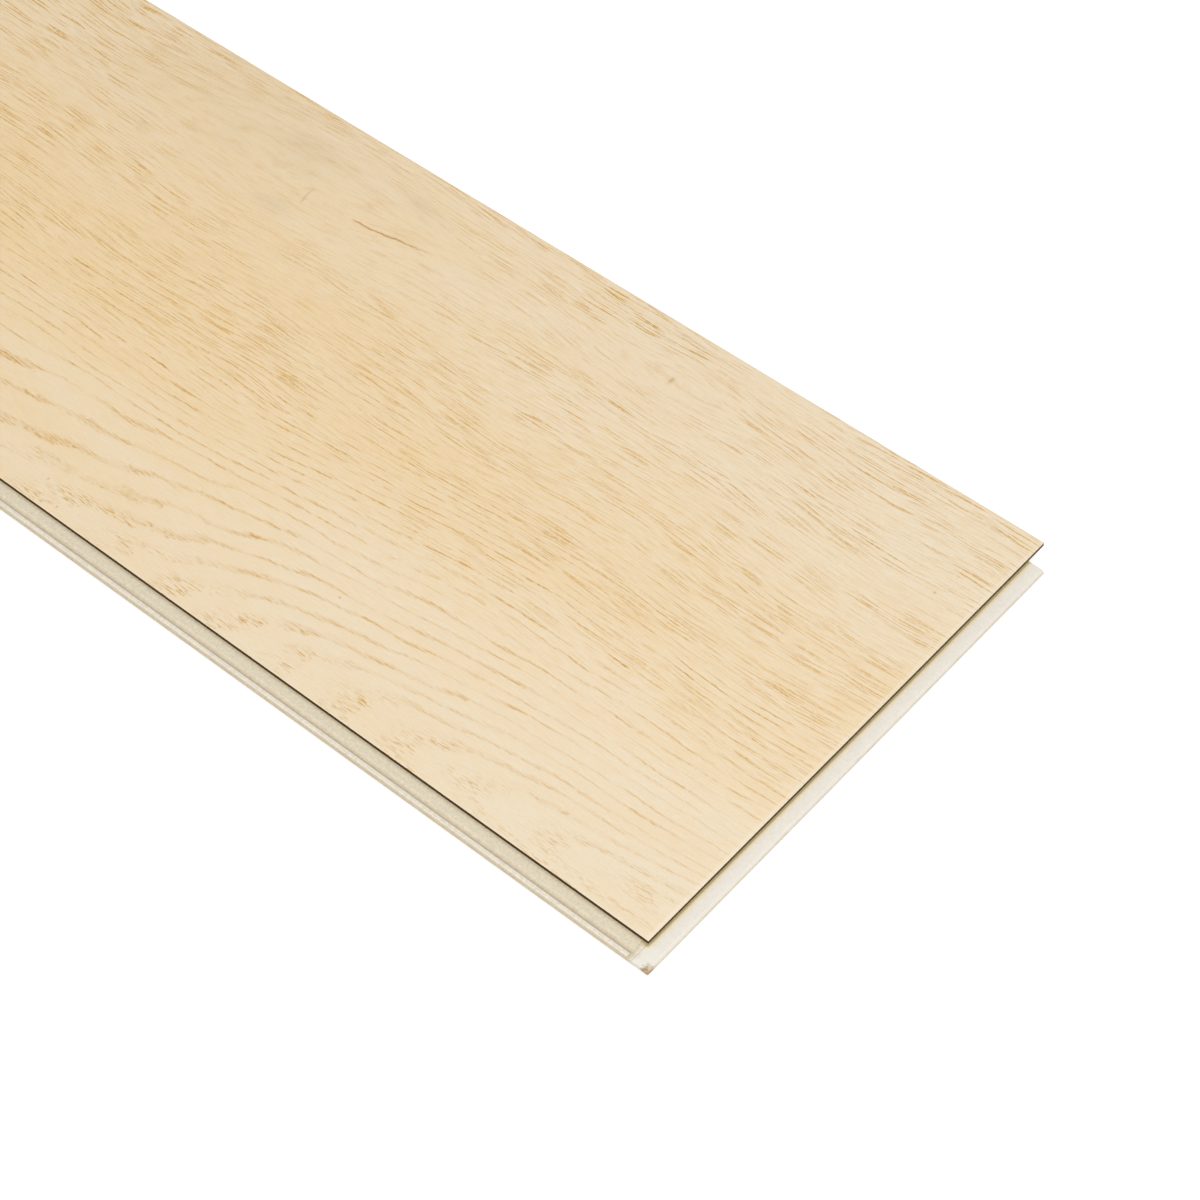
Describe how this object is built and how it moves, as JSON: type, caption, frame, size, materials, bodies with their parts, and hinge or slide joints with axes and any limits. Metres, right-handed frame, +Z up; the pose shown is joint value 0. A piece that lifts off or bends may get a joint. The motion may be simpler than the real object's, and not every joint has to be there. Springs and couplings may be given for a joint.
{
  "type": "luxury vinyl plank",
  "caption": "Click-together vinyl floor plank with an oak-grain printed face, a rigid core milled with slots, tongues and lower lips, and a thin cork backing.",
  "frame": {"origin": "middle of the printed face's footprint, on the underside that lies on the floor", "axes": "+X along the plank towards the end with the lower lip, +Y across it towards the tongue edge, +Z up through the printed face"},
  "size_m": [1.227, 0.1879, 0.0065],
  "materials": {
    "printed_vinyl": "matte pale oak print with a fine embossed grain; dark cut edge",
    "core": "milled, off-white, matte",
    "cork": "fine agglomerated cork, tan, matte"
  },
  "bodies": {
    "root": {"vinyl_top_layer": "printed_vinyl", "rigid_core": "core", "cork_backing": "cork"}
  },
  "joints": []
}
